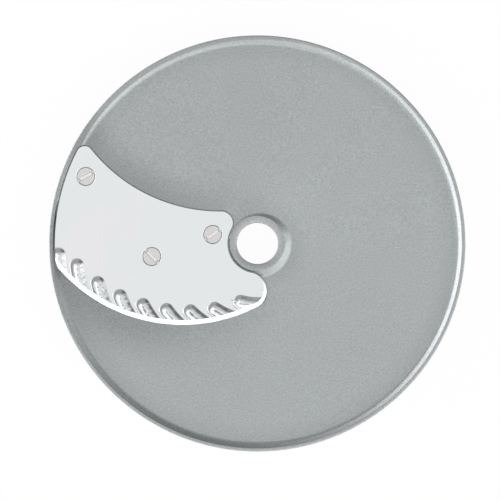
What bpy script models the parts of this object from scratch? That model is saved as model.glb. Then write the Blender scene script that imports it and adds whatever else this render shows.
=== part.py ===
"""Ripple cut disc for a vegetable preparation machine.

A cast aluminium disc carries a fluted stainless blade, held by three countersunk screws. The disc turns
counter-clockwise seen from above: food rides down the plate's ramp, meets the blade's wavy cutting edge and
leaves as a slice through the window under the blade.
Metres, +Z up along the bore's axis, origin on that axis in the plane that the disc rests on.
"""

import math

import bmesh
import bpy
from mathutils import Vector

MM = 0.001

# Clearance between pieces that seat on or in each other, and round the blade in its pocket
FIT_GAP = 0.3 * MM
POCKET_GAP = 0.5 * MM

# Disc casting, radii about the bore's axis
DISC_RADIUS = 95.0 * MM
RIM_HEIGHT = 13.8 * MM
RIM_THICKNESS = 1.6 * MM
SKIRT_THICKNESS = 2.6 * MM
EDGE_ROUND = 0.4 * MM
RIM_FOOT_WIDTH = 4.7 * MM
RIM_FILLET = 3.0 * MM
RIM_SLOPE = 40.0
UNDERSIDE_FILLET = 1.5 * MM
PLATE_THICKNESS = 3.0 * MM
RIM_ABOVE_PLATE = 0.9 * MM
HUB_ABOVE_PLATE = 0.2 * MM
BORE_RADIUS = 9.4 * MM
BORE_CHAMFER = 0.25 * MM
BORE_CONE_WIDTH = 1.7 * MM
BORE_CONE_DEPTH = 0.3 * MM
HUB_WIDTH = 3.2 * MM
HUB_FLANK_WIDTH = 3.4 * MM
HUB_FILLET = 2.0 * MM
HUB_SLOPE = 38.0
HUB_FOOT_WIDTH = 6.6 * MM
DRIVE_SLOT_WIDTH = 6.0 * MM
DRIVE_SLOT_DEPTH = 5.0 * MM

# The plate is level behind the blade, ramps down clockwise and is level again up to the cutting edge
RAMP_TOP_ANGLE = 130.0
RAMP_BOTTOM_ANGLE = -30.0
CLIMB_START_ANGLE = 175.0
CLIMB_END_ANGLE = 162.0
SLICE_THICKNESS = 2.0 * MM

# The plate swells towards the blade's back, and dips towards its cutting edge
SWELL_HEIGHT = 0.5 * MM
SWELL_REACH = 16.0 * MM
SWELL_HUB_FADE = 6.0 * MM
LIP_DIP = 0.4 * MM
LIP_REACH = 12.0 * MM

# Ribs under the plate
RIB_THICKNESS = 2.5 * MM
RIB_BASE_GAP = 2.0 * MM
RIB_ANGLES = (-67.5, -22.5, 22.5, 67.5, 112.5)

# Blade outline: arcs about the bore's axis beside the rim and the hub, the cutting edge's arc and the back's
# arc, joined by round corners. The last two arcs are each set by two points at a radius and an angle.
BLADE_THICKNESS = 1.5 * MM
BLADE_ABOVE_PLATE = 0.6 * MM
BLADE_RIM_GAP = 0.95 * MM
BLADE_HUB_GAP = 0.8 * MM
EDGE_RIM_ANGLE = 186.35
EDGE_HUB_ANGLE = 266.1
EDGE_HUB_INSET = 16.6 * MM
EDGE_ARC_RADIUS = 75.25 * MM
BACK_RIM_ANGLE = 149.0
BACK_HUB_ANGLE = 132.55
BACK_HUB_INSET = 6.6 * MM
BACK_ARC_RADIUS = 75.25 * MM
LOBE_RADIUS = 8.4 * MM
CORNER_RADIUS = 5.3 * MM
TIP_RADIUS = 3.7 * MM

# Ground edge of the blade
BEVEL_WIDTH = 2.15 * MM
EDGE_LAND = 0.2 * MM

# Flutes: arches on circles about the bore's axis. They begin behind the cutting edge, deepest by the rim.
FLUTE_HUB_INSET = 14.4 * MM
FLUTE_PITCH = 7.87 * MM
FLUTE_WIDTH = 6.2 * MM
FLUTE_HEIGHT = 0.9 * MM
FLUTE_FOOT_WIDTH = 0.5 * MM
FLUTE_RIM_SETBACK = 7.1 * MM
FLUTE_HUB_SETBACK = 4.15 * MM

# Seat under the blade, and the slice window in front of it
SEAT_MARGIN = 2.0 * MM
SEAT_SETBACK = 17.0 * MM
SEAT_LAP = 3.0 * MM
LIP_SETBACK = 1.0 * MM
BOSS_RADIUS = 5.0 * MM
BOSS_LENGTH = 4.0 * MM

# Slotted countersunk screws: insets from the blade's sides, and the directions of the slots in degrees
OUTER_SCREW_RIM_INSET = 8.4 * MM
OUTER_SCREW_BACK_INSET = 10.05 * MM
OUTER_SCREW_SLOT = 30.0
INNER_SCREW_HUB_INSET = 7.4 * MM
INNER_SCREW_BACK_INSET = 10.6 * MM
INNER_SCREW_SLOT = 34.0
MIDDLE_SCREW_HUB_INSET = 35.2 * MM
MIDDLE_SCREW_SETBACK = 29.0 * MM
MIDDLE_SCREW_SLOT = -45.0
SCREW_HEAD_RADIUS = 4.0 * MM
SCREW_SHANK_RADIUS = 2.0 * MM
SCREW_LENGTH = 8.0 * MM
SCREW_TIP_CHAMFER = 0.5 * MM
SLOT_WIDTH = 1.2 * MM
SLOT_DEPTH = 1.0 * MM

# Heights and radii that follow from the sizes above
RIM_INNER_RADIUS = DISC_RADIUS - RIM_THICKNESS
RIM_FOOT_RADIUS = DISC_RADIUS - RIM_FOOT_WIDTH
HUB_RADIUS = BORE_RADIUS + HUB_WIDTH
HUB_FOOT_RADIUS = BORE_RADIUS + HUB_FOOT_WIDTH
BLADE_OUTER_RADIUS = RIM_INNER_RADIUS - BLADE_RIM_GAP
BLADE_NOTCH_RADIUS = HUB_RADIUS + BLADE_HUB_GAP
FLUTE_FIRST_RADIUS = BLADE_NOTCH_RADIUS + FLUTE_HUB_INSET
FLUTE_COUNT = 1 + math.floor((BLADE_OUTER_RADIUS - FLUTE_FIRST_RADIUS) / FLUTE_PITCH)
RIM_TOP = RIM_HEIGHT
PLATE_HIGH = RIM_TOP - RIM_ABOVE_PLATE
HUB_TOP = PLATE_HIGH + HUB_ABOVE_PLATE
BLADE_TOP = PLATE_HIGH + BLADE_ABOVE_PLATE
BLADE_UNDERSIDE = BLADE_TOP - BLADE_THICKNESS
SEAT_TOP = BLADE_UNDERSIDE - FIT_GAP
PLATE_LOW = BLADE_UNDERSIDE - SLICE_THICKNESS + LIP_DIP

# Smoothness of the round forms
SECTION_COUNT = 92
FILLET_STEPS = 4
PLATE_RINGS = 12
UNDERSIDE_RING_STEP = 3
ARC_STEP = math.radians(4.0)
ROUND_SIDES = 32
FLUTE_STEPS = 8
REAR_STEPS = 10
FLAT_ANGLE = math.radians(0.02)
SHARP_ANGLE = math.radians(35.0)

# How far a cutter runs past the faces that it cuts through
CUT_OVERRUN = 5.0 * MM

AXIS = Vector((0.0, 0.0))


def clear_scene():
    """Removes every object of the open scene."""
    for obj in list(bpy.data.objects):
        bpy.data.objects.remove(obj, do_unlink=True)


def make_material(name, color, roughness, metallic=1.0):
    """A Principled material with one colour."""
    material = bpy.data.materials.new(name)
    material.use_nodes = True
    shader = material.node_tree.nodes["Principled BSDF"]
    shader.inputs["Base Color"].default_value = (*color, 1.0)
    shader.inputs["Roughness"].default_value = roughness
    shader.inputs["Metallic"].default_value = metallic
    return material


def make_object(name, bm, material=None):
    """Turns a bmesh into an object with faces out and round sides shaded smooth."""
    bmesh.ops.recalc_face_normals(bm, faces=bm.faces)
    mesh = bpy.data.meshes.new(name)
    bm.to_mesh(mesh)
    bm.free()
    mesh.shade_smooth()
    mesh.set_sharp_from_angle(angle=SHARP_ANGLE)
    if material:
        mesh.materials.append(material)
    obj = bpy.data.objects.new(name, mesh)
    bpy.context.scene.collection.objects.link(obj)
    return obj


def combine(target, other, operation):
    """Adds a Boolean to the target, and hides the other object from renders."""
    modifier = target.modifiers.new(f"{operation.lower()}_{other.name}", "BOOLEAN")
    modifier.operation = operation
    modifier.solver = "EXACT"
    modifier.object = other
    other.hide_render = True
    other.display_type = "WIRE"


def smooth_step(share):
    """Eases from 0 to 1 with level ends."""
    share = min(max(share, 0.0), 1.0)
    return share * share * (3.0 - 2.0 * share)


def point_at(radius, angle):
    """The plan point at a radius and an angle in radians about the bore's axis."""
    return Vector((radius * math.cos(angle), radius * math.sin(angle)))


def crossing(centre_a, radius_a, centre_b, radius_b, side=1.0):
    """Where two circles cross, on the left (1) or the right (-1) of the way from centre a to centre b."""
    between = centre_b - centre_a
    distance = between.length
    along = (radius_a**2 - radius_b**2 + distance**2) / (2.0 * distance)
    offset = math.sqrt(max(radius_a**2 - along**2, 0.0))
    ahead = between / distance
    return centre_a + ahead * along + Vector((-ahead.y, ahead.x)) * offset * side


# Centres of the cutting edge's arc and of the back's arc
EDGE_CENTRE = crossing(
    point_at(BLADE_OUTER_RADIUS, math.radians(EDGE_RIM_ANGLE)),
    EDGE_ARC_RADIUS,
    point_at(BLADE_NOTCH_RADIUS + EDGE_HUB_INSET, math.radians(EDGE_HUB_ANGLE)),
    EDGE_ARC_RADIUS,
)
BACK_CENTRE = crossing(
    point_at(BLADE_OUTER_RADIUS, math.radians(BACK_RIM_ANGLE)),
    BACK_ARC_RADIUS,
    point_at(BLADE_NOTCH_RADIUS + BACK_HUB_INSET, math.radians(BACK_HUB_ANGLE)),
    BACK_ARC_RADIUS,
)

# Each screw's place and the direction of its slot
SCREWS = {
    "screw_outer": (
        crossing(
            AXIS,
            BLADE_OUTER_RADIUS - OUTER_SCREW_RIM_INSET,
            BACK_CENTRE,
            BACK_ARC_RADIUS + OUTER_SCREW_BACK_INSET,
        ),
        OUTER_SCREW_SLOT,
    ),
    "screw_inner": (
        crossing(
            AXIS,
            BLADE_NOTCH_RADIUS + INNER_SCREW_HUB_INSET,
            BACK_CENTRE,
            BACK_ARC_RADIUS + INNER_SCREW_BACK_INSET,
        ),
        INNER_SCREW_SLOT,
    ),
    "screw_middle": (
        crossing(
            AXIS,
            BLADE_NOTCH_RADIUS + MIDDLE_SCREW_HUB_INSET,
            EDGE_CENTRE,
            EDGE_ARC_RADIUS - MIDDLE_SCREW_SETBACK,
        ),
        MIDDLE_SCREW_SLOT,
    ),
}


def arc(centre, start, end, turn):
    """Points from start up to, and without, end about the centre, counter-clockwise (1) or clockwise (-1)."""
    first = start - centre
    last = end - centre
    begin = math.atan2(first.y, first.x)
    sweep = (turn * (math.atan2(last.y, last.x) - begin)) % math.tau
    steps = max(1, math.ceil(sweep / ARC_STEP))
    points = []
    for step in range(steps):
        angle = begin + turn * sweep * step / steps
        points.append(centre + Vector((math.cos(angle), math.sin(angle))) * first.length)
    return points


def prism(name, outline, bottom, top):
    """A closed upright solid over a plan outline."""
    bm = bmesh.new()
    floor = bm.faces.new([bm.verts.new((p.x, p.y, bottom)) for p in outline])
    lifted = bmesh.ops.extrude_face_region(bm, geom=[floor])["geom"]
    bmesh.ops.translate(
        bm,
        verts=[item for item in lifted if isinstance(item, bmesh.types.BMVert)],
        vec=(0.0, 0.0, top - bottom),
    )
    return make_object(name, bm)


def turned(name, profile, centre, material=None):
    """A solid turned about an upright axis, from a profile of (radius, height) that starts and ends on it."""
    bm = bmesh.new()
    verts = [bm.verts.new((radius, 0.0, height)) for radius, height in profile]
    edges = [bm.edges.new(pair) for pair in zip(verts, verts[1:])]
    bmesh.ops.spin(
        bm,
        geom=verts + edges,
        cent=(0.0, 0.0, 0.0),
        axis=(0.0, 0.0, 1.0),
        angle=math.tau,
        steps=ROUND_SIDES,
    )
    bmesh.ops.remove_doubles(bm, verts=bm.verts, dist=0.001 * MM)
    bmesh.ops.recalc_face_normals(bm, faces=bm.faces)
    bmesh.ops.dissolve_limit(bm, angle_limit=FLAT_ANGLE, verts=bm.verts, edges=bm.edges)
    obj = make_object(name, bm, material)
    obj.location = (centre.x, centre.y, 0.0)
    return obj


def box(name, length, width, bottom, top, centre, angle):
    """An upright block, turned about its own upright axis."""
    bm = bmesh.new()
    bmesh.ops.create_cube(bm, size=1.0)
    bmesh.ops.scale(bm, verts=bm.verts, vec=(length, width, top - bottom))
    obj = make_object(name, bm)
    obj.location = (centre.x, centre.y, (top + bottom) / 2.0)
    obj.rotation_euler.z = math.radians(angle)
    return obj


def blade_plan(grow=0.0):
    """The blade's outline, moved outward by grow. Its round corners are tangent to the arcs that they join."""
    outer = BLADE_OUTER_RADIUS + grow
    notch = BLADE_NOTCH_RADIUS - grow
    front = EDGE_ARC_RADIUS + grow
    back = BACK_ARC_RADIUS - grow
    lobe_centre, corner_centre, tip_centre = corner_centres()
    outer_front = crossing(AXIS, outer, EDGE_CENTRE, front)
    front_lobe = EDGE_CENTRE + (lobe_centre - EDGE_CENTRE).normalized() * front
    corner_back = BACK_CENTRE + (corner_centre - BACK_CENTRE).normalized() * back
    back_tip = BACK_CENTRE + (tip_centre - BACK_CENTRE).normalized() * back
    lobe_notch = lobe_centre.normalized() * notch
    notch_corner = corner_centre.normalized() * notch
    tip_outer = tip_centre.normalized() * outer
    return (
        arc(EDGE_CENTRE, outer_front, front_lobe, 1)
        + arc(lobe_centre, front_lobe, lobe_notch, 1)
        + arc(AXIS, lobe_notch, notch_corner, -1)
        + arc(corner_centre, notch_corner, corner_back, 1)
        + arc(BACK_CENTRE, corner_back, back_tip, -1)
        + arc(tip_centre, back_tip, tip_outer, 1)
        + arc(AXIS, tip_outer, outer_front, 1)
    )


def corner_centres():
    """Centres of the blade's round corners: the lobe, the corner by the hub and the tip by the rim."""
    lobe = crossing(AXIS, BLADE_NOTCH_RADIUS + LOBE_RADIUS, EDGE_CENTRE, EDGE_ARC_RADIUS - LOBE_RADIUS)
    corner = crossing(AXIS, BLADE_NOTCH_RADIUS + CORNER_RADIUS, BACK_CENTRE, BACK_ARC_RADIUS + CORNER_RADIUS)
    tip = crossing(AXIS, BLADE_OUTER_RADIUS - TIP_RADIUS, BACK_CENTRE, BACK_ARC_RADIUS + TIP_RADIUS)
    return lobe, corner, tip


def plate_top(angle):
    """Height of the plate's top at an angle in degrees. The climb back up is hidden by the blade's seat."""
    travel = (RAMP_TOP_ANGLE - angle) % 360.0
    ramp = RAMP_TOP_ANGLE - RAMP_BOTTOM_ANGLE
    climb_start = (RAMP_TOP_ANGLE - CLIMB_START_ANGLE) % 360.0
    climb = CLIMB_START_ANGLE - CLIMB_END_ANGLE
    drop = smooth_step(travel / ramp) - smooth_step((travel - climb_start) / climb)
    return PLATE_HIGH - (PLATE_HIGH - PLATE_LOW) * drop


def blade_distance(point):
    """Distance from a plan point to the blade's outline."""
    corners = blade_plan()
    gaps = []
    for start, end in zip(corners, corners[1:] + corners[:1]):
        side = end - start
        share = min(max((point - start).dot(side) / side.length_squared, 0.0), 1.0)
        gaps.append((start + side * share - point).length)
    return min(gaps)


def plate_shift(point, top):
    """Rise of the plate near the blade's back, and its dip near the cutting edge, where the plate is low."""
    distance = blade_distance(point)
    level = smooth_step((top - PLATE_LOW) / (PLATE_HIGH - PLATE_LOW))
    hub_fade = smooth_step((point.length - HUB_RADIUS - HUB_FLANK_WIDTH) / SWELL_HUB_FADE)
    swell = SWELL_HEIGHT * max(1.0 - distance / SWELL_REACH, 0.0) ** 2
    dip = LIP_DIP * max(1.0 - distance / LIP_REACH, 0.0) ** 2
    return (swell * level - dip * (1.0 - level)) * hub_fade


def rounding(centre_radius, centre_height, size, begin, end):
    """Section points (radius, height) on a round of this size, between two angles in degrees."""
    points = []
    for step in range(FILLET_STEPS + 1):
        angle = math.radians(begin + (end - begin) * step / FILLET_STEPS)
        points.append((centre_radius + size * math.cos(angle), centre_height + size * math.sin(angle)))
    return points


def flank(height, fillet, slope, width):
    """A sloped flank on a fillet, and the wall that it ends at, as (distance, height) from its start on the plate.

    The flank is as wide as it is told to be, or narrower where it reaches the height before that.
    """
    turn = min(slope, math.degrees(math.acos(max(1.0 - 0.8 * height / fillet, 0.0))))
    points = rounding(0.0, fillet, fillet, -90.0, turn - 90.0)
    start, rise = points[-1]
    steepness = math.tan(math.radians(turn))
    climb = min((width - start) * steepness, 0.75 * (height - rise))
    end = start + climb / steepness
    top = min(end + (height - rise - climb) / steepness, width)
    return points + [(end, rise + climb), (top, height)]


def casting_section(angle):
    """The casting's section at an angle in degrees: a closed loop from the bore over the top to the rim and back."""
    top = plate_top(angle)
    under = top - PLATE_THICKNESS
    heading = math.radians(angle)

    # The hub's flank ends at the hub's radius, so its foot moves out as the plate falls
    hub_flank = flank(HUB_TOP - top, HUB_FILLET, HUB_SLOPE, HUB_FLANK_WIDTH)
    hub_foot = HUB_RADIUS + hub_flank[-1][0]
    hub_side = [(hub_foot - reach, top + rise) for reach, rise in reversed(hub_flank)]
    # The rim's flank starts at one radius, and its top moves out as the plate falls
    rim_foot = top + plate_shift(point_at(RIM_FOOT_RADIUS, heading), top)
    rim_flank = flank(RIM_TOP - rim_foot, RIM_FILLET, RIM_SLOPE, RIM_INNER_RADIUS - RIM_FOOT_RADIUS)
    rim_side = [(RIM_FOOT_RADIUS + reach, rim_foot + rise) for reach, rise in rim_flank]

    plate_start = HUB_RADIUS + HUB_FLANK_WIDTH + HUB_FILLET / 2.0
    spread = RIM_FOOT_RADIUS - plate_start
    rings = [plate_start + spread * ring / PLATE_RINGS for ring in range(PLATE_RINGS)]
    plate = [(radius, top + plate_shift(point_at(radius, heading), top)) for radius in rings]
    low_rings = rings[UNDERSIDE_RING_STEP::UNDERSIDE_RING_STEP]
    skirt = DISC_RADIUS - SKIRT_THICKNESS
    cone_foot = HUB_TOP - BORE_CONE_DEPTH
    return (
        [(BORE_RADIUS, cone_foot - BORE_CHAMFER), (BORE_RADIUS + BORE_CHAMFER, cone_foot)]
        + [(BORE_RADIUS + BORE_CONE_WIDTH, HUB_TOP)]
        + hub_side
        + plate
        + rim_side
        + rounding(DISC_RADIUS - EDGE_ROUND, RIM_TOP - EDGE_ROUND, EDGE_ROUND, 90.0, 0.0)[::2]
        + [(DISC_RADIUS, EDGE_ROUND), (DISC_RADIUS - EDGE_ROUND, 0.0), (skirt, 0.0)]
        + rounding(skirt - UNDERSIDE_FILLET, under - UNDERSIDE_FILLET, UNDERSIDE_FILLET, 0.0, 90.0)[::2]
        + [(radius, under) for radius in reversed(low_rings)]
        + rounding(HUB_FOOT_RADIUS + UNDERSIDE_FILLET, under - UNDERSIDE_FILLET, UNDERSIDE_FILLET, 90.0, 180.0)[::2]
        + [(HUB_FOOT_RADIUS, EDGE_ROUND), (HUB_FOOT_RADIUS - EDGE_ROUND, 0.0)]
        + [(BORE_RADIUS + BORE_CHAMFER, 0.0), (BORE_RADIUS, BORE_CHAMFER)]
    )


def make_casting(material):
    """The one-piece disc: a loft of sections round the bore, then its seat, bosses, ribs, window and holes."""
    bm = bmesh.new()
    loops = []
    for section in range(SECTION_COUNT):
        degrees = 360.0 * section / SECTION_COUNT
        loop = []
        for radius, height in casting_section(degrees):
            plan = point_at(radius, math.radians(degrees))
            loop.append(bm.verts.new((plan.x, plan.y, height)))
        loops.append(loop)
    for near, far in zip(loops, loops[1:] + loops[:1]):
        for a, b, c, d in zip(near, near[1:] + near[:1], far[1:] + far[:1], far):
            bm.faces.new((a, b, c, d))
    bmesh.ops.dissolve_limit(bm, angle_limit=FLAT_ANGLE, verts=bm.verts, edges=bm.edges)
    disc = make_object("disc_casting", bm, material)

    combine(disc, window_cutter(), "DIFFERENCE")
    for added in [seat_pad()] + screw_bosses() + ribs():
        combine(disc, added, "UNION")
    for cut in [blade_pocket(), drive_slot()] + screw_holes():
        combine(disc, cut, "DIFFERENCE")
    return disc


def window_cutter():
    """Clears the plate under the blade, from the lip just behind the cutting edge to behind the seat's front."""
    outer = BLADE_OUTER_RADIUS - SEAT_LAP
    notch = BLADE_NOTCH_RADIUS + SEAT_LAP
    front = EDGE_ARC_RADIUS - LIP_SETBACK
    back = BACK_ARC_RADIUS + SEAT_LAP
    lobe_centre = corner_centres()[0]
    lobe_round = LOBE_RADIUS - LIP_SETBACK
    front_lobe = EDGE_CENTRE + (lobe_centre - EDGE_CENTRE).normalized() * front
    lobe_notch = crossing(AXIS, notch, lobe_centre, lobe_round)
    outer_front = crossing(AXIS, outer, EDGE_CENTRE, front)
    notch_back = crossing(AXIS, notch, BACK_CENTRE, back)
    back_outer = crossing(AXIS, outer, BACK_CENTRE, back)
    outline = (
        arc(EDGE_CENTRE, outer_front, front_lobe, 1)
        + arc(lobe_centre, front_lobe, lobe_notch, 1)
        + arc(AXIS, lobe_notch, notch_back, -1)
        + arc(BACK_CENTRE, notch_back, back_outer, -1)
        + arc(AXIS, back_outer, outer_front, 1)
    )
    return prism("cut_window", outline, -CUT_OVERRUN, RIM_TOP + CUT_OVERRUN)


def seat_pad():
    """The level pad that the blade lies on, let into the hub, the rim and the plate behind it."""
    outer = RIM_INNER_RADIUS + RIM_THICKNESS / 2.0
    notch = BLADE_NOTCH_RADIUS - SEAT_MARGIN
    front = EDGE_ARC_RADIUS - SEAT_SETBACK
    back = BACK_ARC_RADIUS - SEAT_MARGIN
    corner_centre = corner_centres()[1]
    front_notch = crossing(AXIS, notch, EDGE_CENTRE, front)
    notch_corner = corner_centre.normalized() * notch
    corner_back = BACK_CENTRE + (corner_centre - BACK_CENTRE).normalized() * back
    outer_front = crossing(AXIS, outer, EDGE_CENTRE, front)
    back_outer = crossing(AXIS, outer, BACK_CENTRE, back)
    outline = (
        arc(EDGE_CENTRE, outer_front, front_notch, 1)
        + arc(AXIS, front_notch, notch_corner, -1)
        + arc(corner_centre, notch_corner, corner_back, 1)
        + arc(BACK_CENTRE, corner_back, back_outer, -1)
        + arc(AXIS, back_outer, outer_front, 1)
    )
    return prism("add_seat", outline, SEAT_TOP - PLATE_THICKNESS, SEAT_TOP)


def screw_bosses():
    """Round bosses under the seat that give the screws their thread."""
    under = SEAT_TOP - PLATE_THICKNESS
    inside = under + PLATE_THICKNESS / 2.0
    profile = [(0.0, inside), (BOSS_RADIUS, inside), (BOSS_RADIUS, under - BOSS_LENGTH), (0.0, under - BOSS_LENGTH)]
    return [turned(f"add_boss_{name}", profile, place) for name, (place, _) in SCREWS.items()]


def ribs():
    """Radial ribs under the plate, from the hub's foot to the skirt."""
    start = (HUB_FOOT_RADIUS + BORE_RADIUS) / 2.0
    end = DISC_RADIUS - SKIRT_THICKNESS / 2.0
    made = []
    for number, angle in enumerate(RIB_ANGLES):
        middle = point_at((start + end) / 2.0, math.radians(angle))
        inside = plate_top(angle) - PLATE_THICKNESS / 2.0
        made.append(box(f"add_rib_{number}", end - start, RIB_THICKNESS, RIB_BASE_GAP, inside, middle, angle))
    return made


def blade_pocket():
    """Opens the casting above the seat to the blade's outline and its clearance."""
    return prism("cut_pocket", blade_plan(POCKET_GAP), SEAT_TOP, RIM_TOP + CUT_OVERRUN)


def drive_slot():
    """The slot across the hub's foot that takes the cross pin of the machine's shaft."""
    length = 2.0 * (HUB_FOOT_RADIUS + UNDERSIDE_FILLET)
    return box("cut_drive_slot", length, DRIVE_SLOT_WIDTH, -CUT_OVERRUN, DRIVE_SLOT_DEPTH, AXIS, 0.0)


def screw_head_profile(clearance, top):
    """Cone of a countersunk head or its countersink, from the head's top down to the shank."""
    slope_gap = clearance * math.sqrt(2.0)
    head = SCREW_HEAD_RADIUS + slope_gap + (top - BLADE_TOP)
    shank = SCREW_SHANK_RADIUS + clearance
    return [(0.0, top), (head, top), (shank, top - (head - shank))]


def screw_holes():
    """Countersunk clearance holes right through the seat and its bosses."""
    profile = screw_head_profile(FIT_GAP, BLADE_TOP + CUT_OVERRUN)
    profile += [(SCREW_SHANK_RADIUS + FIT_GAP, -CUT_OVERRUN), (0.0, -CUT_OVERRUN)]
    return [turned(f"cut_hole_{name}", profile, place) for name, (place, _) in SCREWS.items()]


def make_screw(name, place, slot_angle, material):
    """A slotted countersunk screw, its head level with the blade's top."""
    tip = BLADE_TOP - SCREW_LENGTH
    profile = screw_head_profile(0.0, BLADE_TOP)
    profile += [
        (SCREW_SHANK_RADIUS, tip + SCREW_TIP_CHAMFER),
        (SCREW_SHANK_RADIUS - SCREW_TIP_CHAMFER, tip),
        (0.0, tip),
    ]
    screw = turned(name, profile, place, material)
    floor = BLADE_TOP - SLOT_DEPTH
    length = 2.0 * (SCREW_HEAD_RADIUS + CUT_OVERRUN)
    slot = box(f"cut_slot_{name}", length, SLOT_WIDTH, floor, BLADE_TOP + CUT_OVERRUN, place, slot_angle)
    combine(screw, slot, "DIFFERENCE")
    return screw


def flute_rise(point):
    """How far the flutes lift the blade at a plan point. Each is an arch along a circle, with a domed end."""
    radius = point.length
    number = round((radius - FLUTE_FIRST_RADIUS) / FLUTE_PITCH)
    if not 0 <= number < FLUTE_COUNT:
        return 0.0
    flute_radius = FLUTE_FIRST_RADIUS + number * FLUTE_PITCH
    from_rim = 1.0 - number / (FLUTE_COUNT - 1)
    setback = FLUTE_RIM_SETBACK - (FLUTE_RIM_SETBACK - FLUTE_HUB_SETBACK) * from_rim**2
    start = crossing(AXIS, flute_radius, EDGE_CENTRE, EDGE_ARC_RADIUS - setback)
    behind = max(-swing(start, point) * flute_radius, 0.0)
    share = math.hypot(radius - flute_radius, behind) / (FLUTE_WIDTH / 2.0)
    # The arch is a parabola that meets a small round at its foot
    foot = 1.0 - FLUTE_FOOT_WIDTH / (FLUTE_WIDTH / 2.0)
    if share < foot:
        return FLUTE_HEIGHT * (1.0 - share**2 / foot)
    return FLUTE_HEIGHT * max(1.0 - share, 0.0) ** 2 / (1.0 - foot)


def lobe_start_radius():
    """Distance from the bore's axis to where the cutting edge runs into the lobe's round."""
    return (EDGE_CENTRE + (corner_centres()[0] - EDGE_CENTRE).normalized() * EDGE_ARC_RADIUS).length


def lobe_taper(radius):
    """1 along the cutting edge, and down to 0 round the lobe, where the ground edge runs out."""
    return min((radius - BLADE_NOTCH_RADIUS) / (lobe_start_radius() - BLADE_NOTCH_RADIUS), 1.0)


def swing(start, end):
    """Angle in radians about the bore's axis from start to end, counter-clockwise."""
    return math.atan2(start.x * end.y - start.y * end.x, start.dot(end))


def front_points(radius, setbacks):
    """The row's plan points at these setbacks from the cutting edge. The first two are the ground edge's."""
    if radius >= lobe_start_radius():
        return [crossing(AXIS, radius, EDGE_CENTRE, EDGE_ARC_RADIUS - setback) for setback in setbacks]
    # Round the lobe the ground edge tapers, and the points behind it keep their angles from the lobe's start
    lobe_centre = corner_centres()[0]
    taper = lobe_taper(radius)
    edge, bevel = [crossing(AXIS, radius, lobe_centre, LOBE_RADIUS - setback * taper) for setback in setbacks[:2]]
    start_row = [
        crossing(AXIS, lobe_start_radius(), EDGE_CENTRE, EDGE_ARC_RADIUS - setback) for setback in setbacks[1:]
    ]
    heading = math.atan2(bevel.y, bevel.x)
    behind = [point_at(radius, heading + swing(start_row[0], point)) for point in start_row[1:]]
    return [edge, bevel] + behind


def back_point(radius):
    """The plan point of the blade's back at this radius."""
    corner_centre, tip_centre = corner_centres()[1:]
    corner_end = BACK_CENTRE + (corner_centre - BACK_CENTRE).normalized() * BACK_ARC_RADIUS
    tip_start = BACK_CENTRE + (tip_centre - BACK_CENTRE).normalized() * BACK_ARC_RADIUS
    if radius < corner_end.length:
        return crossing(AXIS, radius, corner_centre, CORNER_RADIUS, -1.0)
    if radius > tip_start.length:
        return crossing(AXIS, radius, tip_centre, TIP_RADIUS, -1.0)
    return crossing(AXIS, radius, BACK_CENTRE, BACK_ARC_RADIUS)


def blade_radii():
    """Radii of the blade's rows: even steps across the flutes, and finer ones where its round corners end."""
    step = FLUTE_PITCH / FLUTE_STEPS
    count = math.floor((BLADE_OUTER_RADIUS - BLADE_NOTCH_RADIUS) / step)
    first = FLUTE_FIRST_RADIUS - math.floor((FLUTE_FIRST_RADIUS - BLADE_NOTCH_RADIUS) / step) * step
    even = [first + step * number for number in range(1, count)]
    near_notch = [BLADE_NOTCH_RADIUS + step * share for share in (0.0, 0.08, 0.3, 0.65)]
    near_rim = [BLADE_OUTER_RADIUS - step * share for share in (0.65, 0.3, 0.08, 0.0)]
    inner = [radius for radius in even if near_notch[-1] + step / 4.0 < radius < near_rim[0] - step / 4.0]
    return near_notch + inner + near_rim


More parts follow.
